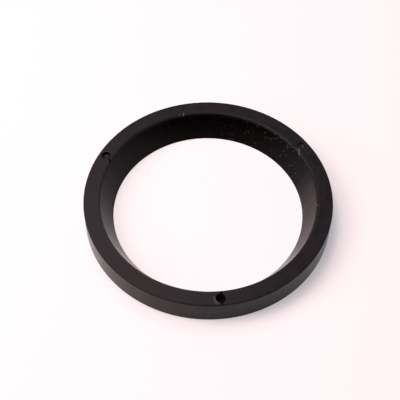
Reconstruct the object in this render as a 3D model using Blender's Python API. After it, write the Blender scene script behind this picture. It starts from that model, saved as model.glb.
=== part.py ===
"""A moulded rubber seal ring, one solid, with a straight outer wall, a bore that narrows
downwards like a funnel, and three blind dimples in its upper face.

Units are metres, +Z is up. The ring lies flat on z = 0 with its axis on Z.
"""

import math

import bmesh
import bpy
from mathutils import Matrix, Vector

# Driving sizes of the ring
OUTER_DIAMETER = 0.0730
HEIGHT = 0.0080
FACE_WIDTH = 0.0046
BORE_INSET = 0.0038

# Edge radii
OUTER_EDGE_RADIUS = 0.00040
MOUTH_EDGE_RADIUS = 0.00045
BORE_EDGE_RADIUS = 0.00012

# The most of a side that one of its rounded corners may take up
CORNER_SHARE = 0.45

# Dimples in the upper face, evenly spaced on the middle of the face
DIMPLE_COUNT = 3
DIMPLE_FIRST_ANGLE = math.radians(35.3)
DIMPLE_DIAMETER = 0.0028
DIMPLE_FLOOR_DIAMETER = 0.0023
DIMPLE_DEPTH = 0.0016
DIMPLE_FLOOR_RADIUS = 0.00045

# How finely round shapes are divided
RING_SEGMENTS = 168
EDGE_STEPS = 4
DIMPLE_SEGMENTS = 28

# Sizes that follow from the driving ones
OUTER_RADIUS = OUTER_DIAMETER / 2
MOUTH_RADIUS = OUTER_RADIUS - FACE_WIDTH
BORE_RADIUS = MOUTH_RADIUS - BORE_INSET
DIMPLE_CIRCLE_RADIUS = (OUTER_RADIUS + MOUTH_RADIUS) / 2
CUTTER_RISE = DIMPLE_DEPTH / 2

# Black nitrile rubber, matt from the mould
RUBBER_COLOUR = (0.016, 0.0125, 0.013, 1.0)
RUBBER_ROUGHNESS = 0.48

SMOOTH_ANGLE = math.radians(30)


def clear_scene():
    for obj in list(bpy.data.objects):
        bpy.data.objects.remove(obj, do_unlink=True)


def make_rubber():
    material = bpy.data.materials.new("nitrile_rubber")
    material.use_nodes = True
    shader = material.node_tree.nodes["Principled BSDF"]
    shader.inputs["Base Color"].default_value = RUBBER_COLOUR
    shader.inputs["Roughness"].default_value = RUBBER_ROUGHNESS
    shader.inputs["Metallic"].default_value = 0.0
    material.diffuse_color = RUBBER_COLOUR
    return material


def rounded_corner(before, corner, after, radius, steps):
    """Points of the arc that rounds a corner and touches both of its sides.

    The radius gives way where a side is too short for it.
    """
    to_before = before - corner
    to_after = after - corner
    half_angle = to_before.angle(to_after) / 2
    room = CORNER_SHARE * min(to_before.length, to_after.length)
    reach = min(radius / math.tan(half_angle), room)
    radius = reach * math.tan(half_angle)
    inward = (to_before.normalized() + to_after.normalized()).normalized()
    centre = corner + inward * (radius / math.sin(half_angle))
    start = corner + to_before.normalized() * reach - centre
    end = corner + to_after.normalized() * reach - centre
    turn = start.angle_signed(end)
    points = []
    for step in range(steps + 1):
        share = turn * step / steps
        spoke = Matrix.Rotation(-share, 2) @ start
        points.append(centre + spoke)
    return points


def ring_section():
    """The ring's section as (radius, height) points, going round the rubber once."""
    corners = [
        (Vector((OUTER_RADIUS, HEIGHT)), OUTER_EDGE_RADIUS),
        (Vector((OUTER_RADIUS, 0.0)), OUTER_EDGE_RADIUS),
        (Vector((BORE_RADIUS, 0.0)), BORE_EDGE_RADIUS),
        (Vector((MOUTH_RADIUS, HEIGHT)), MOUTH_EDGE_RADIUS),
    ]
    points = []
    for index, (corner, radius) in enumerate(corners):
        before = corners[index - 1][0]
        after = corners[(index + 1) % len(corners)][0]
        points += rounded_corner(before, corner, after, radius, EDGE_STEPS)
    return points


def dimple_section():
    """The dimple's section as (radius, height) points, from above its mouth down to its axis."""
    mouth = Vector((DIMPLE_DIAMETER / 2, HEIGHT))
    floor_corner = Vector((DIMPLE_FLOOR_DIAMETER / 2, HEIGHT - DIMPLE_DEPTH))
    floor_middle = Vector((0.0, HEIGHT - DIMPLE_DEPTH))
    slope = mouth - floor_corner
    above_mouth = mouth + slope * (CUTTER_RISE / DIMPLE_DEPTH)
    rounded = rounded_corner(above_mouth, floor_corner, floor_middle, DIMPLE_FLOOR_RADIUS, EDGE_STEPS)
    return [above_mouth] + rounded


def circle_of_verts(mesh, radius, height, segments):
    """One level of a turned shape, as vertices that start at +X and run anticlockwise."""
    ring = []
    for index in range(segments):
        angle = math.tau * index / segments
        ring.append(mesh.verts.new((radius * math.cos(angle), radius * math.sin(angle), height)))
    return ring


def bridge_levels(mesh, upper, lower):
    """Quads between two levels, facing away from the axis when upper is above lower."""
    count = len(upper)
    for index in range(count):
        following = (index + 1) % count
        mesh.faces.new((upper[index], lower[index], lower[following], upper[following]))


def object_from_bmesh(name, mesh):
    data = bpy.data.meshes.new(name)
    mesh.to_mesh(data)
    mesh.free()
    obj = bpy.data.objects.new(name, data)
    bpy.context.scene.collection.objects.link(obj)
    return obj


def shade_as_turned(obj):
    obj.data.shade_smooth()
    obj.data.set_sharp_from_angle(angle=SMOOTH_ANGLE)


def turn_ring():
    """The ring before its dimples: its section carried once round the axis."""
    mesh = bmesh.new()
    levels = [circle_of_verts(mesh, point.x, point.y, RING_SEGMENTS) for point in ring_section()]
    for index, level in enumerate(levels):
        bridge_levels(mesh, level, levels[(index + 1) % len(levels)])
    ring = object_from_bmesh("seal_ring", mesh)
    shade_as_turned(ring)
    return ring


def turn_dimple_cutter(name):
    """A plug of the dimple's shape, closed above the face and on its floor."""
    mesh = bmesh.new()
    levels = [circle_of_verts(mesh, point.x, point.y, DIMPLE_SEGMENTS) for point in dimple_section()]
    for upper, lower in zip(levels, levels[1:]):
        bridge_levels(mesh, upper, lower)
    mesh.faces.new(levels[0])
    mesh.faces.new(reversed(levels[-1]))
    cutter = object_from_bmesh(name, mesh)
    shade_as_turned(cutter)
    cutter.hide_render = True
    cutter.display_type = "WIRE"
    return cutter


def cut_dimples(ring):
    """Blind dimples sunk in the upper face, one turn apart by equal angles."""
    for index in range(DIMPLE_COUNT):
        angle = DIMPLE_FIRST_ANGLE + math.tau * index / DIMPLE_COUNT
        cutter = turn_dimple_cutter(f"dimple_cutter_{index + 1}")
        cutter.location = (
            DIMPLE_CIRCLE_RADIUS * math.cos(angle),
            DIMPLE_CIRCLE_RADIUS * math.sin(angle),
            0.0,
        )
        cutter.rotation_euler = (0.0, 0.0, angle)
        cut = ring.modifiers.new(f"dimple_{index + 1}", "BOOLEAN")
        cut.operation = "DIFFERENCE"
        cut.solver = "EXACT"
        cut.object = cutter


def main():
    clear_scene()
    ring = turn_ring()
    ring.data.materials.append(make_rubber())
    cut_dimples(ring)


main()
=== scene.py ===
# %% [markdown]
# A moulded rubber seal ring
#
# The object is one ring of black nitrile rubber that lies flat on white paper. It has a flat upper face,
# a straight outer wall and a bore that narrows downwards like a funnel. Three small blind dimples sit in
# the face, a third of a turn apart. Each of them has been picked at, so that the rubber is torn between
# the dimple and the edge of the bore.
#
# The imported model gives the sizes. It is loaded first. The finished ring has to fit in the same box.

import math
from collections import namedtuple

import bpy
from mathutils import Matrix, Vector, noise


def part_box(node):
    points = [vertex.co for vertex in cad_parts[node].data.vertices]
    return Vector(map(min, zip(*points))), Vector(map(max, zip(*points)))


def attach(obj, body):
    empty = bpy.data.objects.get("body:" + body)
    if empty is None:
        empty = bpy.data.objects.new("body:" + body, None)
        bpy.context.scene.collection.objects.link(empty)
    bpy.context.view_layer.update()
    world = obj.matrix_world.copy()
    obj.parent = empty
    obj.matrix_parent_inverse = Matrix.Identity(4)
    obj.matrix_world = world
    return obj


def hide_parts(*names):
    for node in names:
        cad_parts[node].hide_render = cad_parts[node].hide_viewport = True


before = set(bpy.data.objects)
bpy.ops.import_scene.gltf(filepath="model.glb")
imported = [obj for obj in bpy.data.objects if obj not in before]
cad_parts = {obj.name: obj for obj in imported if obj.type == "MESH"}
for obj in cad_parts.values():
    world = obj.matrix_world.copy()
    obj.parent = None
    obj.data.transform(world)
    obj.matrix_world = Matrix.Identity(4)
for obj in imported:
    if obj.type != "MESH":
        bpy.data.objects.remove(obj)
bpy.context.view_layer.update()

# %% [markdown]
# Sizes
#
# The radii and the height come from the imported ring. What its box can't tell, such as the width of the
# face, is a named value in metres. Angles are in degrees and run anticlockwise from +X, seen from above.

# %% Sizes of the ring
MM = 0.001

ring_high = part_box("seal_ring")[1]
OUTER_RADIUS = ring_high.x
HEIGHT = ring_high.z
FACE_WIDTH = 4.6 * MM
BORE_INSET = 3.8 * MM
MOUTH_RADIUS = OUTER_RADIUS - FACE_WIDTH
BORE_RADIUS = MOUTH_RADIUS - BORE_INSET

OUTER_EDGE_RADIUS = 0.40 * MM
MOUTH_EDGE_RADIUS = 1.10 * MM
BORE_EDGE_RADIUS = 0.12 * MM

# The moulded face lies this much below the highest point, which is the torn rubber round a dimple
FACE_SINK = 0.06 * MM
FACE_HEIGHT = HEIGHT - FACE_SINK

DIMPLE_CIRCLE_RADIUS = (OUTER_RADIUS + MOUTH_RADIUS) / 2

print(f"ring: {2 * OUTER_RADIUS / MM:.1f} mm across, {HEIGHT / MM:.1f} mm high,"
      f" bore {2 * BORE_RADIUS / MM:.1f} mm, mouth {2 * MOUTH_RADIUS / MM:.1f} mm")

# %% [markdown]
# The camera
#
# The camera goes first, so that each later step can be judged from the place where the photograph was
# taken. A camera fitted to the ring's edges stands about 55 degrees above the table and 8.3 ring radii
# away. A long lens keeps the near and far side of the ring almost the same size. The lens follows from
# the focal length in pixels and the width of the picture. The stored photograph is squeezed to two
# thirds of its width, so the camera keeps the photograph's height and shows the ring round.

# %% Camera
PICTURE_WIDTH = 400
SENSOR_WIDTH = 36.0
FOCAL_PIXELS = 1019.7
CAMERA_ELEVATION = 54.94
CAMERA_DISTANCE = 8.26 * OUTER_RADIUS
CAMERA_ROLL = 0.606
NEAREST_SHOWN = 0.01
FARTHEST_SHOWN = 20.0
RING_MIDDLE = Vector((0.0, 0.0, HEIGHT / 2))
AIM_POINT = Vector((-2.42 * MM, 1.52 * MM, HEIGHT / 2))


def make_camera():
    data = bpy.data.cameras.new("photo_camera")
    data.sensor_width = SENSOR_WIDTH
    data.lens = FOCAL_PIXELS / PICTURE_WIDTH * SENSOR_WIDTH
    data.clip_start = NEAREST_SHOWN
    data.clip_end = FARTHEST_SHOWN
    camera = bpy.data.objects.new("photo_camera", data)
    bpy.context.scene.collection.objects.link(camera)
    elevation = math.radians(CAMERA_ELEVATION)
    towards_camera = Vector((0.0, -math.cos(elevation), math.sin(elevation)))
    camera.location = RING_MIDDLE + towards_camera * CAMERA_DISTANCE
    look = (AIM_POINT - camera.location).to_track_quat("-Z", "Y").to_matrix()
    roll = Matrix.Rotation(math.radians(CAMERA_ROLL), 3, "Z")
    camera.rotation_euler = (look @ roll).to_euler()
    bpy.context.scene.camera = camera
    return camera


camera = make_camera()
print(f"camera {(camera.location - AIM_POINT).length / MM:.0f} mm away, lens {camera.data.lens:.1f} mm")

# %% [markdown]
# The section of the ring
#
# A seal ring is a body of revolution: its mould is turned on a lathe, so one outline carried round the
# axis gives the whole shape. The outline is a list of points, each with the direction that faces out of
# the rubber there. The direction is used later, when wear and unevenness push the surface in or out.
#
# The corners are arcs, because rubber never leaves a mould with a perfectly sharp edge. A bevel modifier
# would round them too, but it can't say which way each new point faces, and an arc can.

# %% A rounded corner
SectionPoint = namedtuple("SectionPoint", "radius height out_radius out_height")
EDGE_STEPS = 7


def round_corner(before, corner, after, radius, steps=EDGE_STEPS):
    """An arc that touches both sides of a corner, with the outward direction at each of its points."""
    to_before = (before - corner).normalized()
    to_after = (after - corner).normalized()
    half_angle = to_before.angle(to_after) / 2
    centre = corner + (to_before + to_after).normalized() * (radius / math.sin(half_angle))
    start = corner + to_before * (radius / math.tan(half_angle)) - centre
    end = corner + to_after * (radius / math.tan(half_angle)) - centre
    turn = start.angle_signed(end)
    points = []
    for step in range(steps + 1):
        spoke = Matrix.Rotation(-turn * step / steps, 2) @ start
        place = centre + spoke
        out = spoke.normalized()
        points.append(SectionPoint(place.x, place.y, out.x, out.y))
    return points


print("points on a corner:", EDGE_STEPS + 1)

# %% [markdown]
# The sides between the arcs are straight. A row of points just beside each arc keeps them flat when the
# surface is shaded smoothly. The even rows between those two are there for the unevenness to work on.

# %% Outline of the section
BESIDE_ARC = 0.05 * MM

# Even steps on the wall, the underside, the bore and the face
SIDE_STEPS = (9, 6, 14, 18)


def straight_side(start, end, steps):
    """Points between two arcs: one beside each arc, and the rest evenly spaced."""
    first = Vector((start.radius, start.height))
    last = Vector((end.radius, end.height))
    length = (last - first).length
    shares = [BESIDE_ARC / length]
    shares += [step / steps for step in range(1, steps)]
    shares += [1.0 - BESIDE_ARC / length]
    points = []
    for share in shares:
        place = first.lerp(last, share)
        points.append(SectionPoint(place.x, place.y, start.out_radius, start.out_height))
    return points


def ring_section():
    """The outline, once round: outer edge, wall, underside, bore, mouth edge and face."""
    corners = [
        (Vector((OUTER_RADIUS, FACE_HEIGHT)), OUTER_EDGE_RADIUS),
        (Vector((OUTER_RADIUS, 0.0)), OUTER_EDGE_RADIUS),
        (Vector((BORE_RADIUS, 0.0)), BORE_EDGE_RADIUS),
        (Vector((MOUTH_RADIUS, FACE_HEIGHT)), MOUTH_EDGE_RADIUS),
    ]
    arcs = []
    for index, (corner, radius) in enumerate(corners):
        before = corners[index - 1][0]
        after = corners[(index + 1) % len(corners)][0]
        arcs.append(round_corner(before, corner, after, radius))
    outline = []
    for index, arc in enumerate(arcs):
        following = arcs[(index + 1) % len(arcs)]
        outline += arc
        outline += straight_side(arc[-1], following[0], SIDE_STEPS[index])
    return outline


section = ring_section()
print("section:", len(section), "points")

# %% [markdown]
# Where the ring is divided
#
# The section is repeated at a row of angles. Half a degree is fine enough for a smooth circle, but the
# torn places need more: the angles lie closer together round the dimples and at the small marks on the
# edge of the bore. That puts the faces where there is something to see.

# %% Angles of the sections
FineZone = namedtuple("FineZone", "centre half_width step")
PLAIN_STEP = 0.5
DIMPLE_ANGLES = (35.3, 154.9, 276.8)
DIMPLE_ZONE = 5.0
DIMPLE_STEP = 0.2
NICK_ANGLE = 105.6
NICK_ZONE = 2.2
CRUMB_ANGLE = 356.4
CRUMB_ZONE = 0.8
MARK_STEP = 0.1

fine_zones = [FineZone(angle, DIMPLE_ZONE, DIMPLE_STEP) for angle in DIMPLE_ANGLES]
fine_zones.append(FineZone(NICK_ANGLE, NICK_ZONE, MARK_STEP))
fine_zones.append(FineZone(CRUMB_ANGLE, CRUMB_ZONE, MARK_STEP))
fine_zones.sort()


def section_angles():
    """All the angles, once round, starting with the first fine zone."""
    angles = []
    for index, zone in enumerate(fine_zones):
        fine_count = round(2 * zone.half_width / zone.step)
        start = zone.centre - zone.half_width
        angles += [start + zone.step * step for step in range(fine_count)]
        plain_start = zone.centre + zone.half_width
        following = fine_zones[(index + 1) % len(fine_zones)]
        plain_length = (following.centre - following.half_width - plain_start) % 360
        plain_count = round(plain_length / PLAIN_STEP)
        angles += [plain_start + plain_length * step / plain_count for step in range(plain_count)]
    return [angle % 360 for angle in angles]


angles = section_angles()
print("angles:", len(angles))

# %% [markdown]
# The dimples
#
# Each dimple is a blind hole about 2.8 mm across, left by a pin of the mould. Cutting it with a Boolean
# would leave ragged faces round the rim. Instead, a window is left out of the face and filled with
# loops of faces: they start as the window's outline, turn into circles, and then follow the dimple's
# own outline over its rim, down its wall and across its floor. All of them are clean quads, but for the
# triangles that meet in the middle of the floor.
#
# The three are not alike. The one in front is torn wide and deep, so that no light reaches its floor,
# and its rim is torn open towards the outer wall, so its loops reach further in that direction. The one
# on the right is nearly filled up.

# %% Outline of a dimple
Dimple = namedtuple("Dimple", "angle radius depth floor_round tear")
DIMPLE_DRAFT = 0.20 * MM
DIMPLE_RIM_ROUND = 0.12 * MM
RIM_STEPS = 5
FLOOR_STEPS = 6

# Where further loops lie, as shares of the way down the wall and of the flat floor's radius
WALL_SHARES = (0.25, 0.5, 0.75)
FLOOR_SHARES = (0.7, 0.4, 0.15)

right_dimple = Dimple(DIMPLE_ANGLES[0], 1.20 * MM, 0.40 * MM, 0.22 * MM, 0.0)
left_dimple = Dimple(DIMPLE_ANGLES[1], 1.30 * MM, 1.05 * MM, 0.65 * MM, 0.0)
front_dimple = Dimple(DIMPLE_ANGLES[2], 1.38 * MM, 2.40 * MM, 0.95 * MM, 0.34 * MM)
dimples = [right_dimple, left_dimple, front_dimple]


def dimple_outline(dimple):
    """(distance from the dimple's axis, depth below the face), from the rim to the floor."""
    far_out = Vector((dimple.radius + 3 * DIMPLE_RIM_ROUND, 0.0))
    rim = Vector((dimple.radius, 0.0))
    foot = Vector((dimple.radius - DIMPLE_DRAFT, -dimple.depth))
    middle = Vector((0.0, -dimple.depth))
    rim_arc = round_corner(far_out, rim, foot, DIMPLE_RIM_ROUND, RIM_STEPS)
    floor_arc = round_corner(rim, foot, middle, dimple.floor_round, FLOOR_STEPS)
    outline = [(point.radius, -point.height) for point in rim_arc]
    last = Vector(outline[-1])
    first = Vector((floor_arc[0].radius, -floor_arc[0].height))
    outline += [tuple(last.lerp(first, share)) for share in WALL_SHARES]
    outline += [(point.radius, -point.height) for point in floor_arc]
    flat_radius = outline[-1][0]
    outline += [(flat_radius * share, dimple.depth) for share in FLOOR_SHARES]
    return outline


print("dimple:", len(dimple_outline(front_dimple)), "loops")

# %% [markdown]
# The tear in the rim of the front dimple needs no shape of its own. Each loop of that dimple reaches
# further in the direction of the tear, and less far to either side of it.

# %% Tear in a dimple's rim
TEAR_DIRECTION = 288.0
TEAR_SPREAD = 38.0
TEAR_TAPER = 1.5


def angle_gap(angle, centre):
    """The signed difference between two angles, from -180 to 180 degrees."""
    return (angle - centre + 180) % 360 - 180


def torn_reach(dimple, radius, offset):
    """How far a loop of the dimple reaches in one direction: further where the rim is torn open."""
    direction = math.degrees(math.atan2(offset.y, offset.x))
    off_tear = abs(angle_gap(direction, TEAR_DIRECTION)) / TEAR_SPREAD
    share = max(0.0, 1.0 - off_tear) ** TEAR_TAPER
    return radius + dimple.tear * share * min(1.0, radius / dimple.radius)


print(f"front dimple: torn {front_dimple.tear / MM:.2f} mm wider towards {TEAR_DIRECTION:.0f} degrees")

# %% [markdown]
# Building the clean ring
#
# The ring is built before any wear is added. Each vertex keeps its outward direction beside its place.
# The sections and the rows of one section make a grid that closes in both directions, so the ring has no
# seam. A Screw modifier could turn the section too, but not with the angles closer together in places.

# %% Vertices of the clean ring
Spot = namedtuple("Spot", "place out")


def on_ring(radius, angle, height):
    turn = math.radians(angle)
    return Vector((radius * math.cos(turn), radius * math.sin(turn), height))


spots = []
for angle in angles:
    for point in section:
        place = on_ring(point.radius, angle, point.height)
        out = on_ring(point.out_radius, angle, point.out_height)
        spots.append(Spot(place, out))

columns = len(angles)
rows = len(section)


def grid_index(column, row):
    return (column % columns) * rows + row % rows


print("vertices:", len(spots))

# %% [markdown]
# The windows for the dimples are left out of the grid. Each of them is a patch of the flat face that
# starts just beside the mouth's arc and stops a little before the outer edge.

# %% Windows in the face
WINDOW_HALF_ANGLE = 3.4
ANGLE_SLACK = 0.01
FACES_UP = 0.9999


def window_rows():
    """The first and last row of the windows."""
    flat = [row for row, point in enumerate(section) if point.out_height > FACES_UP]
    # The first two of these rows are the ends of the two arcs
    return flat[2], flat[-2]


def columns_of_window(dimple):
    """The columns near a dimple, in order."""
    reach = WINDOW_HALF_ANGLE + ANGLE_SLACK
    inside = [column for column, angle in enumerate(angles) if abs(angle_gap(angle, dimple.angle)) < reach]
    return sorted(inside, key=lambda column: angle_gap(angles[column], dimple.angle))


window_low, window_high = window_rows()
window_columns = {dimple: columns_of_window(dimple) for dimple in dimples}
left_out = {(column, row)
            for inside in window_columns.values()
            for column in inside[:-1]
            for row in range(window_low, window_high)}

faces = []
for column in range(columns):
    for row in range(rows):
        if (column, row) not in left_out:
            faces.append((
                grid_index(column, row),
                grid_index(column, row + 1),
                grid_index(column + 1, row + 1),
                grid_index(column + 1, row),
            ))
print("faces:", len(faces), "left out:", len(left_out))

# %% [markdown]
# Each window is filled from its border inwards, so the first step is to go round that border once, by
# its four sides.

# %% Borders of the windows
def window_border(inside):
    """The vertices round a window, in order, seen from above anticlockwise."""
    border = [(column, window_low) for column in inside]
    border += [(inside[-1], row) for row in range(window_low + 1, window_high + 1)]
    border += [(column, window_high) for column in reversed(inside[:-1])]
    border += [(inside[0], row) for row in range(window_high - 1, window_low, -1)]
    return [grid_index(column, row) for column, row in border]


borders = {dimple: window_border(inside) for dimple, inside in window_columns.items()}
print("vertices on each border:", [len(border) for border in borders.values()])

# %% [markdown]
# The first loops blend from the border to a circle, with closer steps near the rim, where the surface
# starts to bend. The others follow the dimple's own outline. Every loop has as many vertices as the
# border, so faces join one loop to the next without a gap.

# %% Fill the windows with dimples
BLEND_SHARES = (0.22, 0.42, 0.60, 0.76, 0.90)
UP = Vector((0.0, 0.0, 1.0))


def add_spot(place, out):
    """Adds a vertex and returns its number."""
    spots.append(Spot(place, out))
    return len(spots) - 1


def dimple_loops(dimple, border):
    """The vertices of each loop, from the window's border to the smallest one on the floor."""
    centre = on_ring(DIMPLE_CIRCLE_RADIUS, dimple.angle, FACE_HEIGHT)
    offsets = [spots[index].place - centre for index in border]
    outline = dimple_outline(dimple)
    rim_radius = outline[0][0]
    loops = [border]
    for share in BLEND_SHARES:
        loop = []
        for offset in offsets:
            rim_reach = torn_reach(dimple, rim_radius, offset)
            reach = offset.length + (rim_reach - offset.length) * share
            loop.append(add_spot(centre + offset.normalized() * reach, UP))
        loops.append(loop)
    for radius, depth in outline:
        loop = []
        for offset in offsets:
            reach = torn_reach(dimple, radius, offset)
            loop.append(add_spot(centre + offset.normalized() * reach - UP * depth, UP))
        loops.append(loop)
    return loops


def fill_window(dimple, border):
    loops = dimple_loops(dimple, border)
    count = len(loops[0])
    for outer, inner in zip(loops, loops[1:]):
        for step in range(count):
            following = (step + 1) % count
            faces.append((outer[step], inner[step], inner[following], outer[following]))
    floor_middle = on_ring(DIMPLE_CIRCLE_RADIUS, dimple.angle, FACE_HEIGHT) - UP * dimple.depth
    middle = add_spot(floor_middle, UP)
    last = loops[-1]
    for step in range(count):
        faces.append((last[step], middle, last[(step + 1) % count]))


for dimple, border in borders.items():
    fill_window(dimple, border)
print("with dimples:", len(spots), "vertices,", len(faces), "faces")

# %% [markdown]
# Wear and unevenness
#
# The torn places are what makes this ring one real ring. Every mark is a short line on it, with a width
# at each of its ends and a height. A vertex near the line is pushed out of the rubber by that height, or
# into it where the height is negative, and most in the middle. A split is a groove, a lip beside a torn
# dimple is a low ridge, and a crumb is a ridge of no length. Working on the vertices gives a true shape
# that catches the light, where a painted line would stay flat.
#
# Marks are given in millimetres. The reach says how far below the face a mark still works.

# %% Kinds of mark
Mark = namedtuple("Mark", "start end start_half_width end_half_width height reach")
REACH_FADE = 0.5
LOW_REACH = 0.6
LIP_STEP = 15
LIP_OFFSET = 0.7


def in_mm(radius_mm, angle):
    return on_ring(radius_mm, angle, 0.0).to_2d()


def groove(start, end, start_half_width, end_half_width, depth):
    reach = depth + REACH_FADE
    return Mark(in_mm(*start), in_mm(*end), start_half_width, end_half_width, -depth, reach)


def ridge(start, end, start_half_width, end_half_width, height, reach=LOW_REACH):
    return Mark(in_mm(*start), in_mm(*end), start_half_width, end_half_width, height, reach)


def crumb(place, half_width, height, reach):
    return ridge(place, place, half_width, half_width, height, reach)


def lip(dimple, first_direction, last_direction, half_width, height):
    """A low ridge that follows part of a dimple's rim. Directions are seen from above, in degrees."""
    middle = in_mm(DIMPLE_CIRCLE_RADIUS / MM, dimple.angle)
    distance = dimple.radius / MM + LIP_OFFSET * half_width
    points = []
    for direction in range(first_direction, last_direction + 1, LIP_STEP):
        turn = math.radians(direction)
        points.append(middle + distance * Vector((math.cos(turn), math.sin(turn))))
    return [Mark(start, end, half_width, half_width, height, LOW_REACH)
            for start, end in zip(points, points[1:])]


print("grooves reach", REACH_FADE, "mm below their depth, ridges", LOW_REACH, "mm below the face")

# %% [markdown]
# These are the marks that show in the photograph. A place on the ring is its distance from the axis and
# its angle. The two half widths and the depth or height follow, and last the reach where it isn't the
# usual one.

# %% Marks on this ring
marks = [
    # Splits from the front dimple to the bore and to the outer edge
    groove((33.1, 277.1), (31.9, 278.0), 0.60, 0.24, 0.90),
    groove((35.8, 277.4), (36.25, 277.6), 0.30, 0.22, 0.40),
    # Split from the left dimple to the bore
    groove((33.2, 155.8), (31.9, 157.4), 0.34, 0.34, 0.90),
    # Two small splits at the right dimple, and the rubber that stands up beside them
    groove((33.0, 36.6), (32.3, 38.6), 0.24, 0.14, 0.30),
    groove((33.3, 33.4), (32.9, 32.4), 0.24, 0.14, 0.25),
    ridge((32.7, 33.9), (31.9, 31.2), 0.40, 0.36, 0.22, 1.2),
    ridge((31.5, 40.6), (31.1, 40.2), 0.50, 0.40, 0.05, 2.2),
    # Two lips and a crumb at the nick in the far edge of the bore
    ridge((32.55, 104.6), (31.95, 104.9), 0.36, 0.32, 0.26, 0.9),
    ridge((32.5, 106.9), (32.1, 107.1), 0.22, 0.20, 0.16, 0.8),
    crumb((33.3, 106.0), 0.24, 0.14, 0.8),
    # A crumb on the right edge of the bore, and one in the right dimple
    crumb((32.0, 356.3), 0.42, 0.22, 1.0),
    crumb((34.6, 34.9), 0.36, 0.22, 1.0),
]
marks += lip(front_dimple, 165, 255, 0.42, 0.09)
marks += lip(left_dimple, 60, 135, 0.34, 0.05)
print("marks:", len(marks))

# %% [markdown]
# Rubber is soft, so no face of the real ring is perfectly flat. A slow swell of a few hundredths of a
# millimetre and a finer ripple are enough to make the light wander over it. They fade out towards the
# underside, which lies flat on the paper.

# %% Swell and ripple
SWELL_SIZE = 9.0
SWELL_HEIGHT = 0.020
RIPPLE_SIZE = 1.6
RIPPLE_HEIGHT = 0.006
FLAT_FOOT = 0.8


def unevenness(point, size):
    """Smooth noise, nearly always between 0 and 1."""
    return 0.5 + 0.5 * noise.noise(point / size)


def swell_and_ripple(point):
    """How far the surface sinks here, as a negative number of millimetres."""
    above_foot = min(1.0, point.z / FLAT_FOOT)
    out = -SWELL_HEIGHT * unevenness(point, SWELL_SIZE) * above_foot
    out -= RIPPLE_HEIGHT * unevenness(point, RIPPLE_SIZE) * above_foot
    return out


print(f"unevenness: up to about {SWELL_HEIGHT + RIPPLE_HEIGHT:.3f} mm")

# %% [markdown]
# Now every vertex is pushed by the unevenness and by the marks near it. It also learns how far the skin
# is worn by scuffs on a ridge, which the material paints pale, partly as scuffing and partly as a painted
# highlight, and how far it is cut through there, where the material paints shade. The wall and floor of
# the front dimple count as cut through, where the skin of the rubber is gone, so the painted shade
# darkens that recess too.

# %% Push the surface out or in
GROOVE_TAPER = 1.3
CUT_SPREAD = 2.0
PALE_HEIGHT = 0.20
TORN_MIDDLE = in_mm(DIMPLE_CIRCLE_RADIUS / MM, front_dimple.angle)
TORN_REACH = 2.0
TORN_BELOW = 0.3


def inside_torn_dimple(point, below_face):
    return below_face > TORN_BELOW and (point - TORN_MIDDLE).length < TORN_REACH


def nearness_to(mark, point):
    """1 on the mark's line, 0 at its edge, and negative beyond."""
    along = mark.end - mark.start
    share = 0.0
    if along.length_squared > 0.0:
        share = max(0.0, min(1.0, (point - mark.start).dot(along) / along.length_squared))
    half_width = mark.start_half_width + (mark.end_half_width - mark.start_half_width) * share
    return 1.0 - (point - mark.start - along * share).length / half_width


def push(spot):
    """How far the surface moves out of the rubber here in mm, its scuffing with a painted highlight, and
    how deeply cut it is, with painted shade.
    """
    point = spot.place / MM
    flat = point.to_2d()
    below_face = FACE_HEIGHT / MM - point.z
    out = swell_and_ripple(point)
    scuff_and_highlight = 0.0
    cut = 1.0 if inside_torn_dimple(flat, below_face) else 0.0
    for mark in marks:
        if below_face > mark.reach:
            continue
        nearness = nearness_to(mark, flat)
        if nearness <= 0.0:
            continue
        fade = min(1.0, (mark.reach - below_face) / REACH_FADE)
        if mark.height < 0.0:
            out += mark.height * nearness ** GROOVE_TAPER * fade
            # A split's cut also gets painted shade in the colour
            cut = max(cut, min(1.0, CUT_SPREAD * nearness) * fade)
        else:
            smooth = nearness * nearness * (3 - 2 * nearness)
            out += mark.height * smooth * fade
            # Scuffs on a ridge are painted pale, partly as a painted highlight on the raised rubber
            scuff_and_highlight = max(scuff_and_highlight, smooth * fade * min(1.0, mark.height / PALE_HEIGHT))
    return out, scuff_and_highlight, cut


worn_places = []
scuff_and_highlight_values = []
cut_values = []
for spot in spots:
    out, scuff_and_highlight, cut = push(spot)
    place = spot.place + spot.out * (out * MM)
    place.z = min(place.z, HEIGHT)
    worn_places.append(place)
    scuff_and_highlight_values.append(scuff_and_highlight)
    cut_values.append(cut)
print(f"scuffed vertices: {sum(value > 0 for value in scuff_and_highlight_values)},"
      f" cut vertices: {sum(value > 0 for value in cut_values)}")

# %% [markdown]
# The lists become one mesh. The values for scuffs with their painted highlight, and for cuts with their
# painted shade, are stored on it as attributes, one number for each vertex, which a material can read.
# The finished ring rides on the part's only body and replaces the plain ring of the imported model.

# %% The ring's mesh
def make_ring():
    data = bpy.data.meshes.new("moulded_ring")
    data.from_pydata(worn_places, [], faces)
    data.validate()
    data.shade_smooth()
    for name, values in (("scuff_and_highlight", scuff_and_highlight_values), ("cut", cut_values)):
        attribute = data.attributes.new(name, "FLOAT", "POINT")
        attribute.data.foreach_set("value", values)
    ring = bpy.data.objects.new("moulded_ring", data)
    bpy.context.scene.collection.objects.link(ring)
    return ring


ring = make_ring()
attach(ring, "root")
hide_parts("seal_ring")
ring.data.calc_loop_triangles()
print("moulded_ring:", len(ring.data.loop_triangles), "triangles")

# %% [markdown]
# Colours and nodes
#
# Colours are written as the sRGB hex values that a paint program shows, and one function turns them
# into the linear values that the shader works with. One other function adds any kind of node with its
# settings and its links, and hands back what comes out of it, so that each material reads as a list of
# steps.

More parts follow.
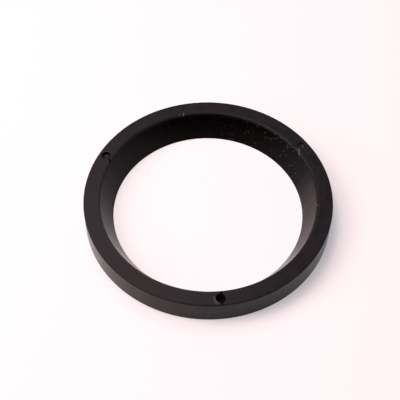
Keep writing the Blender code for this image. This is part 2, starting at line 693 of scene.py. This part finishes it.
# %% Helpers for materials
def linear(hex_colour):
    """A #rrggbb colour as linear red, green, blue and alpha, by the formula of the sRGB standard."""
    channels = []
    for start in (1, 3, 5):
        value = int(hex_colour[start:start + 2], 16) / 255
        channels.append(value / 12.92 if value <= 0.04045 else ((value + 0.055) / 1.055) ** 2.4)
    return (*channels, 1.0)


def new_material(name):
    material = bpy.data.materials.new(name)
    material.use_nodes = True
    material.node_tree.nodes.clear()
    return material


def add_node(owner, kind, inputs=None, **settings):
    """Adds a node to a material or a world and returns its first output in use.

    An input, named or numbered, gets a value or another node's output.
    """
    tree = owner.node_tree
    node = tree.nodes.new(kind)
    for name, value in settings.items():
        setattr(node, name, value)
    for name, value in (inputs or {}).items():
        if isinstance(name, int):
            socket = node.inputs[name]
        else:
            socket = next(found for found in node.inputs if found.enabled and found.name == name)
        if isinstance(value, bpy.types.NodeSocket):
            tree.links.new(value, socket)
        else:
            socket.default_value = value
    return next((found for found in node.outputs if found.enabled), None)


print("middle grey #808080 is", round(linear("#808080")[0], 3), "in linear light")

# %% [markdown]
# Nitrile rubber, moulded
#
# The ring is nitrile rubber filled with carbon black, as it leaves a turned steel mould. Its own colour
# is close to black. Nearly all that the eye sees is the soft reflection of the room in a satin surface.
#
# The material works on the ring's own coordinates in millimetres, so every pattern has a real size. The
# distance from the axis tells the bore, the face and the wall apart. It is the dot product of the place
# seen from above and the bearing, the unit vector that points away from the axis.

# %% Rubber: places on the ring
BORE_STARTS = MOUTH_RADIUS / MM + 0.10
BORE_IN_FULL = MOUTH_RADIUS / MM - 0.15
WALL_STARTS = OUTER_RADIUS / MM - 0.25
WALL_IN_FULL = OUTER_RADIUS / MM - 0.08

rubber = new_material("nitrile_rubber_moulded")
own_place = add_node(rubber, "ShaderNodeTexCoord").node.outputs["Object"]
place_mm = add_node(rubber, "ShaderNodeVectorMath", {0: own_place, "Scale": 1 / MM}, operation="SCALE")
place_parts = add_node(rubber, "ShaderNodeSeparateXYZ", {"Vector": place_mm}).node
height_mm = place_parts.outputs["Z"]
flat_place = add_node(rubber, "ShaderNodeCombineXYZ", {
    "X": place_parts.outputs["X"],
    "Y": place_parts.outputs["Y"],
})
bearing = add_node(rubber, "ShaderNodeVectorMath", {0: flat_place}, operation="NORMALIZE")
radius_mm = add_node(rubber, "ShaderNodeVectorMath", {
    0: flat_place,
    1: bearing,
}, operation="DOT_PRODUCT").node.outputs["Value"]

in_bore = add_node(rubber, "ShaderNodeMapRange", {
    "Value": radius_mm,
    "From Min": BORE_STARTS,
    "From Max": BORE_IN_FULL,
})
on_wall = add_node(rubber, "ShaderNodeMapRange", {
    "Value": radius_mm,
    "From Min": WALL_STARTS,
    "From Max": WALL_IN_FULL,
})
print(f"bore inside {BORE_IN_FULL:.2f} mm, wall beyond {WALL_IN_FULL:.2f} mm from the axis")

# %% [markdown]
# The two edges of the face get rubbed first, so they are rougher. Each of them is a narrow band of
# distances from the axis, with a soft border. The band of the mouth's edge also carries a painted
# highlight on its left part.

# %% Rubber: edges of the face
EDGE_BLEND = 0.09 * MM

# The middle of each band and half its width
MOUTH_EDGE_BAND = (MOUTH_RADIUS + 0.15 * MM, 0.50 * MM)
OUTER_EDGE_BAND = (OUTER_RADIUS - 0.26 * MM, 0.11 * MM)


def in_band(middle, half_width):
    """1 in a band of radii, 0 away from it."""
    off_middle = add_node(rubber, "ShaderNodeMath", {0: radius_mm, 1: middle / MM}, operation="SUBTRACT")
    return add_node(rubber, "ShaderNodeMapRange", {
        "Value": add_node(rubber, "ShaderNodeMath", {0: off_middle}, operation="ABSOLUTE"),
        "From Min": (half_width + EDGE_BLEND) / MM,
        "From Max": (half_width - EDGE_BLEND) / MM,
    })


on_edge = add_node(rubber, "ShaderNodeMath", {
    0: in_band(*MOUTH_EDGE_BAND),
    1: in_band(*OUTER_EDGE_BAND),
}, operation="MAXIMUM")
print("edge bands:", [f"{2 * half_width / MM:.2f} mm" for middle, half_width in
                      (MOUTH_EDGE_BAND, OUTER_EDGE_BAND)])

# %% [markdown]
# Four patterns make up the surface. Mottling is a slow drift of the black, from uneven mixing and from
# fingers. Grain is the blasted texture of the mould. Real grain is finer than a pixel of this picture,
# so it is drawn at 0.25 mm to show at all. Both are plain noise.

# %% Rubber: mottling and grain
MOTTLE_SIZE = 3.0
GRAIN_SIZE = 0.25

# Plain noise seldom leaves this range
NOISE_LOW = 0.30
NOISE_HIGH = 0.70

mottle = add_node(rubber, "ShaderNodeTexNoise", {
    "Vector": place_mm,
    "Scale": 1.0 / MOTTLE_SIZE,
    "Detail": 4.0,
    "Roughness": 0.62,
})
grain = add_node(rubber, "ShaderNodeTexNoise", {
    "Vector": place_mm,
    "Scale": 1.0 / GRAIN_SIZE,
    "Detail": 3.0,
    "Roughness": 0.6,
})
print(f"mottling every {MOTTLE_SIZE} mm, grain every {GRAIN_SIZE} mm")

# %% [markdown]
# The other two patterns follow the ring. Streaks run down the bore, the way it was pulled off its core.
# They are noise, stretched by scaling one direction of its coordinates. The bearing has no seam, where an
# angle would have one.

# %% Rubber: streaks
STREAK_SPACING = 1.1
STREAK_LENGTH = 12.0

around_bore = add_node(rubber, "ShaderNodeVectorMath", {
    0: bearing,
    "Scale": MOUTH_RADIUS / MM,
}, operation="SCALE")
down_bore = add_node(rubber, "ShaderNodeMath", {
    0: height_mm,
    1: STREAK_SPACING / STREAK_LENGTH,
}, operation="MULTIPLY")
streak_place = add_node(rubber, "ShaderNodeVectorMath", {
    0: around_bore,
    1: add_node(rubber, "ShaderNodeCombineXYZ", {"Z": down_bore}),
}, operation="ADD")
streaks = add_node(rubber, "ShaderNodeTexNoise", {
    "Vector": streak_place,
    "Scale": 1.0 / STREAK_SPACING,
    "Detail": 3.0,
    "Roughness": 0.7,
})
print(f"streaks every {STREAK_SPACING} mm")

# %% [markdown]
# Turning lines run round the ring, printed from the tool marks of the mould. The distance from the axis
# grows along the face and the height grows along the wall, so their sum crosses the lines on both. Along
# a line the noise changes slowly, about 30 times on the way round: two pi times the value below.

# %% Rubber: turning lines
TURNING_SPACING = 0.40
TURNING_CHANGE = 5.0

around_ring = add_node(rubber, "ShaderNodeVectorMath", {
    0: bearing,
    "Scale": TURNING_CHANGE,
}, operation="SCALE")
across_lines = add_node(rubber, "ShaderNodeMath", {0: radius_mm, 1: height_mm}, operation="ADD")
lines_passed = add_node(rubber, "ShaderNodeMath", {
    0: across_lines,
    1: 1.0 / TURNING_SPACING,
}, operation="MULTIPLY")
turning_place = add_node(rubber, "ShaderNodeVectorMath", {
    0: around_ring,
    1: add_node(rubber, "ShaderNodeCombineXYZ", {"Z": lines_passed}),
}, operation="ADD")
turning_lines = add_node(rubber, "ShaderNodeTexNoise", {
    "Vector": turning_place,
    "Scale": 1.0,
    "Detail": 2.0,
    "Roughness": 0.5,
})
print(f"turning lines every {TURNING_SPACING} mm")

# %% [markdown]
# Some colours lie on one side only. A function gives a side of the ring: 1 at one bearing, and less to
# either side of it. A painted reflection makes the right side of the bore a little paler, in streaks,
# and the bore is a little duller there.
# A painted highlight makes the left part of the mouth's edge a little paler.

# %% Rubber: painted reflection and painted highlight
PAINTED_REFLECTION_SIDE = -10.0
PAINTED_REFLECTION_SPREAD = 32.0
EDGE_HIGHLIGHT_SIDE = 220.0
EDGE_HIGHLIGHT_SPREAD = 80.0
STREAK_LOW = 0.35
STREAK_HIGH = 0.65
PAINTED_REFLECTION_WEAKEST = 0.65
PAINTED_REFLECTION_STRONGEST = 1.25


def on_side(side, spread, where):
    """1 at one bearing in a part of the ring, fading to 0 at a number of degrees to either side."""
    towards_side = add_node(rubber, "ShaderNodeVectorMath", {
        0: bearing,
        1: on_ring(1.0, side, 0.0),
    }, operation="DOT_PRODUCT").node.outputs["Value"]
    near_side = add_node(rubber, "ShaderNodeMapRange", {
        "Value": towards_side,
        "From Min": math.cos(math.radians(spread)),
        "From Max": 1.0,
    })
    return add_node(rubber, "ShaderNodeMath", {0: near_side, 1: where}, operation="MULTIPLY")


# Painted reflection: paler streaks on the right of the bore, where it mirrors the bright paper
painted_reflection_in_streaks = add_node(rubber, "ShaderNodeMapRange", {
    "Value": streaks,
    "From Min": STREAK_LOW,
    "From Max": STREAK_HIGH,
    "To Min": PAINTED_REFLECTION_WEAKEST,
    "To Max": PAINTED_REFLECTION_STRONGEST,
})
painted_reflection = add_node(rubber, "ShaderNodeMath", {
    0: on_side(PAINTED_REFLECTION_SIDE, PAINTED_REFLECTION_SPREAD, in_bore),
    1: painted_reflection_in_streaks,
}, operation="MULTIPLY")
# Painted highlight: the left part of the mouth's edge is paler, where light catches it
painted_edge_highlight = on_side(EDGE_HIGHLIGHT_SIDE, EDGE_HIGHLIGHT_SPREAD, in_band(*MOUTH_EDGE_BAND))
print(f"painted bore reflection: {2 * PAINTED_REFLECTION_SPREAD:.0f} degrees of the bore")

# %% [markdown]
# Pale specks cling to the bore further back. Each speck is the middle of a cell of a Voronoi pattern. A
# cell has a colour of its own, drawn by chance, and only cells whose colour is below a limit keep their
# speck.

# %% Rubber: specks of dust
DUST_CELL = 0.9
DUST_KEPT = 0.38
SPECK_EDGE = 0.30
SPECK_CORE = 0.15
SPECK_SIDE = 48.0
SPECK_SPREAD = 40.0

dust_cells = add_node(rubber, "ShaderNodeTexVoronoi", {
    "Vector": place_mm,
    "Scale": 1.0 / DUST_CELL,
}).node
cell_chance = add_node(rubber, "ShaderNodeSeparateColor", {"Color": dust_cells.outputs["Color"]})
dust_kept = add_node(rubber, "ShaderNodeMath", {0: cell_chance, 1: DUST_KEPT}, operation="LESS_THAN")
dust_spot = add_node(rubber, "ShaderNodeMapRange", {
    "Value": dust_cells.outputs["Distance"],
    "From Min": SPECK_EDGE,
    "From Max": SPECK_CORE,
})
specks_anywhere = add_node(rubber, "ShaderNodeMath", {0: dust_kept, 1: dust_spot}, operation="MULTIPLY")
specks = add_node(rubber, "ShaderNodeMath", {
    0: specks_anywhere,
    1: on_side(SPECK_SIDE, SPECK_SPREAD, in_bore),
}, operation="MULTIPLY")
print(f"specks: up to {2 * SPECK_EDGE * DUST_CELL:.2f} mm across")

# %% [markdown]
# The colour is built up in layers: each layer covers what is under it where its share is 1. The black
# of the face, the wall and the bore comes first, each between a darker and a paler tone that the
# mottling picks. The rubber is one black, so the wall's paler tones are painted light and the bore's
# darker tones are painted shade. Then come the painted reflection on the right of the bore and the
# painted highlight on the mouth's edge, and then the torn places, from the values that are stored on
# the mesh. Where the rubber has scuffs it is paler than the moulded skin, partly from the scuffing and
# partly as a painted highlight on the raised rubber. Where it is `cut`, in the splits and inside the
# front dimple, it is black, as painted shade. Specks of dust come last.

# %% Rubber: colour
# One black rubber: the wall's tones are painted paler, as painted light, and the bore's darker, as painted
# shade
FACE_TONES = (linear("#020201"), linear("#120e15"))
WALL_TONES_PAINTED_PALER = (linear("#222020"), linear("#2e2a2a"))
BORE_TONES_PAINTED_DARKER = (linear("#010000"), linear("#060202"))
# Paler where the rubber has scuffs: partly scuffing, partly a painted highlight on raised rubber
PALE_SCUFF_AND_HIGHLIGHT = linear("#535456")
# Painted shade: black in the splits and inside the front dimple
PAINTED_SHADE_IN_CUTS = linear("#050303")
DUST_COLOUR = linear("#3e3e3d")
# Painted reflection on the right side of the bore
PAINTED_REFLECTION_COLOUR = linear("#322d2d")
# Painted highlight on the left part of the mouth's edge
PAINTED_EDGE_HIGHLIGHT_COLOUR = linear("#2e2829")

scuff_and_highlight = add_node(rubber, "ShaderNodeAttribute", attribute_name="scuff_and_highlight").node.outputs["Fac"]
cut = add_node(rubber, "ShaderNodeAttribute", attribute_name="cut").node.outputs["Fac"]
mottle_share = add_node(rubber, "ShaderNodeMapRange", {
    "Value": mottle,
    "From Min": NOISE_LOW,
    "From Max": NOISE_HIGH,
})

region_blacks = []
for dark, pale in (FACE_TONES, WALL_TONES_PAINTED_PALER, BORE_TONES_PAINTED_DARKER):
    region_blacks.append(add_node(rubber, "ShaderNodeMix", {
        "Factor": mottle_share,
        "A": dark,
        "B": pale,
    }, data_type="RGBA"))
face_black, wall_black_painted_paler, bore_black_painted_darker = region_blacks

bore_with_painted_reflection = add_node(rubber, "ShaderNodeMix", {
    "Factor": painted_reflection,
    "A": bore_black_painted_darker,
    "B": PAINTED_REFLECTION_COLOUR,
}, data_type="RGBA")

layers = [
    (on_wall, wall_black_painted_paler),
    (in_bore, bore_with_painted_reflection),
    (painted_edge_highlight, PAINTED_EDGE_HIGHLIGHT_COLOUR),
    (scuff_and_highlight, PALE_SCUFF_AND_HIGHLIGHT),
    (cut, PAINTED_SHADE_IN_CUTS),
    (specks, DUST_COLOUR),
]
colour = face_black
for share, covering in layers:
    colour = add_node(rubber, "ShaderNodeMix", {
        "Factor": share,
        "A": colour,
        "B": covering,
    }, data_type="RGBA")
print("layers of colour:", 1 + len(layers))

# %% [markdown]
# The finish differs from place to place. The rubbed edges are the dullest, then the face, then the wall.
# The bore is the smoothest, but a little duller under the painted reflection on its right side. The
# mottling makes the roughness drift a little, and torn rubber is much rougher than the moulded skin.

# %% Rubber: roughness
FACE_ROUGHNESS = 0.32
WALL_ROUGHNESS = 0.22
BORE_ROUGHNESS = 0.20
EDGE_ROUGHNESS = 0.56
PAINTED_REFLECTION_ROUGHENING = 0.14
TORN_ROUGHENING = 0.50
ROUGHNESS_DRIFT = 0.09

skin_roughness = add_node(rubber, "ShaderNodeMapRange", {
    "Value": on_wall,
    "To Min": FACE_ROUGHNESS,
    "To Max": WALL_ROUGHNESS,
})
bore_change = add_node(rubber, "ShaderNodeMapRange", {
    "Value": in_bore,
    "To Min": 0.0,
    "To Max": BORE_ROUGHNESS - FACE_ROUGHNESS,
})
clean_roughness = add_node(rubber, "ShaderNodeMath", {0: skin_roughness, 1: bore_change}, operation="ADD")
roughness_under_painted_reflection = add_node(rubber, "ShaderNodeMath", {
    0: painted_reflection,
    1: PAINTED_REFLECTION_ROUGHENING,
    2: clean_roughness,
}, operation="MULTIPLY_ADD")
drift = add_node(rubber, "ShaderNodeMapRange", {
    "Value": mottle,
    "From Min": NOISE_LOW,
    "From Max": NOISE_HIGH,
    "To Min": -ROUGHNESS_DRIFT / 2,
    "To Max": ROUGHNESS_DRIFT / 2,
})
drifted_roughness = add_node(rubber, "ShaderNodeMath", {0: roughness_under_painted_reflection, 1: drift}, operation="ADD")
rubbed_roughness = add_node(rubber, "ShaderNodeMath", {
    0: on_edge,
    1: EDGE_ROUGHNESS - FACE_ROUGHNESS,
    2: drifted_roughness,
}, operation="MULTIPLY_ADD")
torn = add_node(rubber, "ShaderNodeMath", {0: scuff_and_highlight, 1: cut}, operation="MAXIMUM")
roughness = add_node(rubber, "ShaderNodeMath", {
    0: torn,
    1: TORN_ROUGHENING,
    2: rubbed_roughness,
}, operation="MULTIPLY_ADD", use_clamp=True)
print(f"roughness: face {FACE_ROUGHNESS}, wall {WALL_ROUGHNESS}, bore {BORE_ROUGHNESS}")

# %% [markdown]
# The relief adds up the heights of the patterns in millimetres and goes through one Bump node whose
# distance is a millimetre, so a number here is a real height.
#
# Rubber has an index of refraction of about 1.5. Under these lamps that makes the face clearly paler than
# in the photograph, so the value is lowered until the black is as deep. It matches a look and is no
# measured property.

# %% Rubber: relief and skin
GRAIN_HEIGHT = 0.014
TURNING_HEIGHT = 0.006
STREAK_HEIGHT = 0.070
RUBBER_IOR = 1.20

grain_relief = add_node(rubber, "ShaderNodeMath", {0: grain, 1: GRAIN_HEIGHT}, operation="MULTIPLY")
turning_relief = add_node(rubber, "ShaderNodeMath", {
    0: turning_lines,
    1: TURNING_HEIGHT,
    2: grain_relief,
}, operation="MULTIPLY_ADD")
streaks_here = add_node(rubber, "ShaderNodeMath", {0: streaks, 1: in_bore}, operation="MULTIPLY")
relief_mm = add_node(rubber, "ShaderNodeMath", {
    0: streaks_here,
    1: STREAK_HEIGHT,
    2: turning_relief,
}, operation="MULTIPLY_ADD")
relief = add_node(rubber, "ShaderNodeBump", {
    "Height": relief_mm,
    "Distance": MM,
    "Strength": 1.0,
})
skin = add_node(rubber, "ShaderNodeBsdfPrincipled", {
    "Base Color": colour,
    "Roughness": roughness,
    "IOR": RUBBER_IOR,
    "Normal": relief,
})
add_node(rubber, "ShaderNodeOutputMaterial", {"Surface": skin})
ring.data.materials.append(rubber)
print("rubber:", len(rubber.node_tree.nodes), "nodes")

# %% [markdown]
# Paper and backdrop
#
# The photograph is exposed for the black rubber, so its white paper came out nearly white, and the
# ring's shadow pale. More light would do that to the paper, but it would make the rubber pale too. Here
# the light stays at a plain level. The white comes from the colours of the paper and of the backdrop
# behind it, and the Light Path node tells which rays show them: those of the camera and those that the
# ring mirrors.

# %% Rays that show the paper and the backdrop
BACKDROP_COLOUR = linear("#fff5f7")


def seen_directly(owner):
    """1 for rays that show the paper or the backdrop, 0 for rays that only carry its light."""
    path = add_node(owner, "ShaderNodeLightPath").node
    camera_or_glossy = add_node(owner, "ShaderNodeMath", {
        0: path.outputs["Is Camera Ray"],
        1: path.outputs["Is Glossy Ray"],
    }, operation="MAXIMUM")
    return add_node(owner, "ShaderNodeMath", {
        0: camera_or_glossy,
        1: path.outputs["Is Transmission Ray"],
    }, operation="MAXIMUM")


print("backdrop:", [round(channel, 2) for channel in BACKDROP_COLOUR[:3]])

# %% [markdown]
# The ring lies on a sheet of matt white paper that runs out of sight. Part of the paper's brightness is
# a faint glow instead of light that it sends back, which keeps the shadow pale. The glow shows in the
# picture and in reflections on the ring, and in no other ray, so it doesn't work as a lamp.
#
# Far from the ring, where the lamps no longer reach, the glow takes over completely. It has the colour
# of the backdrop there, so that no horizon shows in a low view.

# %% Paper
PAPER_COLOUR = linear("#bcbcbb")
PAPER_GLOW_COLOUR = linear("#fbf7ff")
PAPER_GLOW = 0.43
FADE_START = 0.10
FADE_END = 0.24
BLACK = (0.0, 0.0, 0.0, 1.0)

paper = new_material("matt_paper")
paper_place = add_node(paper, "ShaderNodeTexCoord").node.outputs["Object"]
from_ring = add_node(paper, "ShaderNodeVectorMath", {0: paper_place}, operation="LENGTH")
far_away = add_node(paper, "ShaderNodeMapRange", {
    "Value": from_ring.node.outputs["Value"],
    "From Min": FADE_START,
    "From Max": FADE_END,
}, interpolation_type="SMOOTHSTEP")
paper_seen = seen_directly(paper)
far_seen = add_node(paper, "ShaderNodeMath", {0: far_away, 1: paper_seen}, operation="MULTIPLY")
own_colour = add_node(paper, "ShaderNodeMix", {
    "Factor": far_seen,
    "A": PAPER_COLOUR,
    "B": BLACK,
}, data_type="RGBA")
glow = add_node(paper, "ShaderNodeMix", {
    "Factor": far_away,
    "A": tuple(PAPER_GLOW * channel for channel in PAPER_GLOW_COLOUR),
    "B": BACKDROP_COLOUR,
}, data_type="RGBA")
paper_skin = add_node(paper, "ShaderNodeBsdfPrincipled", {
    "Base Color": own_colour,
    "Roughness": 0.9,
    "Specular IOR Level": 0.0,
    "Emission Color": glow,
    "Emission Strength": paper_seen,
})
add_node(paper, "ShaderNodeOutputMaterial", {"Surface": paper_skin})
print(f"paper: fades out from {FADE_START / MM:.0f} to {FADE_END / MM:.0f} mm")

# %% [markdown]
# The sheet is one flat face a hundredth of a millimetre below the ring, so that the two don't touch.

# %% Table
TABLE_SIZE = 6.0
TABLE_GAP = 0.01 * MM
TABLE_EDGE = TABLE_SIZE / 2


def make_sheet(name, corners, material):
    """A flat sheet of four corners that belongs to the stage and not to the ring."""
    data = bpy.data.meshes.new(name)
    data.from_pydata(corners, [], [(0, 1, 2, 3)])
    data.materials.append(material)
    sheet = bpy.data.objects.new(name, data)
    bpy.context.scene.collection.objects.link(sheet)
    return sheet


make_sheet("table", [
    (-TABLE_EDGE, -TABLE_EDGE, -TABLE_GAP),
    (TABLE_EDGE, -TABLE_EDGE, -TABLE_GAP),
    (TABLE_EDGE, TABLE_EDGE, -TABLE_GAP),
    (-TABLE_EDGE, TABLE_EDGE, -TABLE_GAP),
], paper)
print(f"table: {TABLE_SIZE:.0f} m wide")

# %% [markdown]
# Light
#
# The light comes from two large softboxes on the left, one nearly overhead and one lower down, and from
# a weaker one on the left behind the ring. They make the soft shadow on the right and the pale side of
# the face on the left. A white card low on the left brightens the wall there and the bore on the right.
#
# Each lamp is a round area light. Its strength is given as the brightness of its face, where 1 is the
# white of the picture, because that is what the rubber mirrors. The power in watts follows from it.

# %% Lamps
RoundLamp = namedtuple("RoundLamp", "name bearing elevation half_angle brightness")
LAMP_COLOUR = linear("#ffe6e5")
LAMP_DISTANCE = 0.90

round_lamps = [
    RoundLamp("top_softbox", 180.0, 74.0, 13.0, 11.0),
    RoundLamp("side_softbox", 180.0, 48.0, 13.0, 10.8),
    RoundLamp("low_card", 203.0, 26.0, 12.0, 3.0),
    RoundLamp("back_softbox", 118.0, 63.0, 15.0, 4.8),
]


def make_round_lamp(lamp):
    data = bpy.data.lights.new(lamp.name, "AREA")
    data.shape = "DISK"
    radius = LAMP_DISTANCE * math.tan(math.radians(lamp.half_angle))
    data.size = 2 * radius
    data.energy = lamp.brightness * math.pi * math.pi * radius ** 2
    data.color = LAMP_COLOUR[:3]
    light = bpy.data.objects.new(lamp.name, data)
    elevation = math.radians(lamp.elevation)
    towards_lamp = on_ring(math.cos(elevation), lamp.bearing, math.sin(elevation))
    light.location = towards_lamp * LAMP_DISTANCE
    light.rotation_euler = (-towards_lamp).to_track_quat("-Z", "Y").to_euler()
    bpy.context.scene.collection.objects.link(light)
    print(f"{lamp.name}: {2 * radius / MM:.0f} mm across, {data.energy:.2f} W")


for lamp in round_lamps:
    make_round_lamp(lamp)

# %% [markdown]
# The room around is even and dim. It shows as a pale backdrop in the picture and in reflections. On the
# camera's side stands a black card, which the camera doesn't see. Photographers use one to keep a
# reflection dark. The far side of the bore looks that way, and it stays nearly black.

# %% Room and black card
ROOM_COLOUR = linear("#ffe2dd")
ROOM_LIGHT = 0.14
CARD_DISTANCE = 0.50
CARD_WIDTH = 1.60
CARD_HEIGHT = 0.60


def make_room():
    world = bpy.data.worlds.new("room")
    world.use_nodes = True
    world.node_tree.nodes.clear()
    lit = add_node(world, "ShaderNodeBackground", {"Color": ROOM_COLOUR, "Strength": ROOM_LIGHT})
    shown = add_node(world, "ShaderNodeBackground", {"Color": BACKDROP_COLOUR, "Strength": 1.0})
    both = add_node(world, "ShaderNodeMixShader", {0: seen_directly(world), 1: lit, 2: shown})
    add_node(world, "ShaderNodeOutputWorld", {"Surface": both})
    bpy.context.scene.world = world


def make_black_card():
    felt = new_material("black_felt")
    felt_skin = add_node(felt, "ShaderNodeBsdfPrincipled", {
        "Base Color": BLACK,
        "Roughness": 1.0,
        "Specular IOR Level": 0.0,
    })
    add_node(felt, "ShaderNodeOutputMaterial", {"Surface": felt_skin})
    card = make_sheet("black_card", [
        (-CARD_WIDTH / 2, -CARD_DISTANCE, 0.0),
        (CARD_WIDTH / 2, -CARD_DISTANCE, 0.0),
        (CARD_WIDTH / 2, -CARD_DISTANCE, CARD_HEIGHT),
        (-CARD_WIDTH / 2, -CARD_DISTANCE, CARD_HEIGHT),
    ], felt)
    card.visible_camera = False
    card.visible_shadow = False


make_room()
make_black_card()
bpy.context.scene.view_settings.view_transform = "Standard"
print(f"black card: {CARD_WIDTH:.1f} m wide, {CARD_HEIGHT:.1f} m high, {CARD_DISTANCE:.1f} m from the ring")
